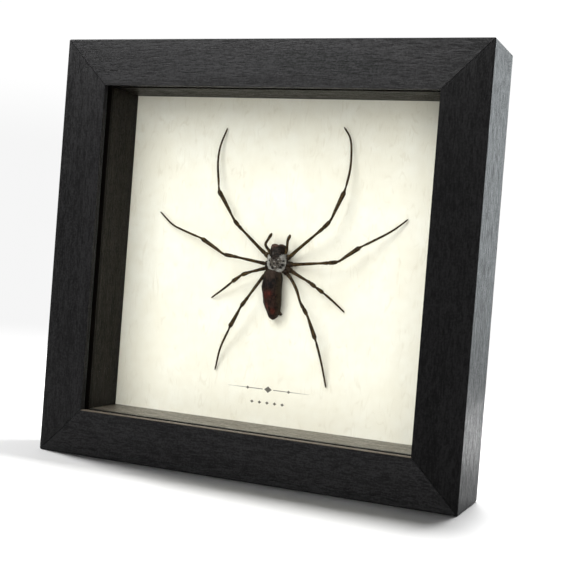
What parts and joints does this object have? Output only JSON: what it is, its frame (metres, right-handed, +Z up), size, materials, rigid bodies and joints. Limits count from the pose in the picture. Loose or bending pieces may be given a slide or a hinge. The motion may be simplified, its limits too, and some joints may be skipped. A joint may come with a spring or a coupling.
{
  "type": "framed orb weaver specimen",
  "caption": "Black wooden box frame with glass, holding one large dried orb-weaving spider, legs spread, on a cream paper panel.",
  "frame": {"origin": "middle of the footprint, on the surface that the frame stands on", "axes": "+Z up, -Y out of the picture side, +X to the right as one looks at the picture"},
  "size_m": [0.2, 0.037, 0.192],
  "materials": {
    "black_wood": "black stained, fine open grain, satin",
    "spacer_wood": "dark stained, matte",
    "clear_glass": "clear picture glass",
    "cream_paper": "cream fibrous handmade paper on card, matte",
    "brown_board": "pressed fibre board, smooth side out",
    "steel": "bright zinc plated",
    "dried_spider": "dry chitin with fine hairs, satin"
  },
  "bodies": {
    "root": {"rail_top": "black_wood", "rail_bottom": "black_wood", "rail_left": "black_wood", "rail_right": "black_wood", "glass": "clear_glass", "spacer_top": "spacer_wood", "spacer_bottom": "spacer_wood", "spacer_left": "spacer_wood", "spacer_right": "spacer_wood", "paper_panel": "cream_paper", "back_board": "brown_board", "point_top_1": "steel", "point_top_2": "steel", "point_bottom_1": "steel", "point_bottom_2": "steel", "point_left_1": "steel", "point_left_2": "steel", "point_right_1": "steel", "point_right_2": "steel", "hanger": "steel", "spider": "dried_spider"}
  },
  "joints": []
}
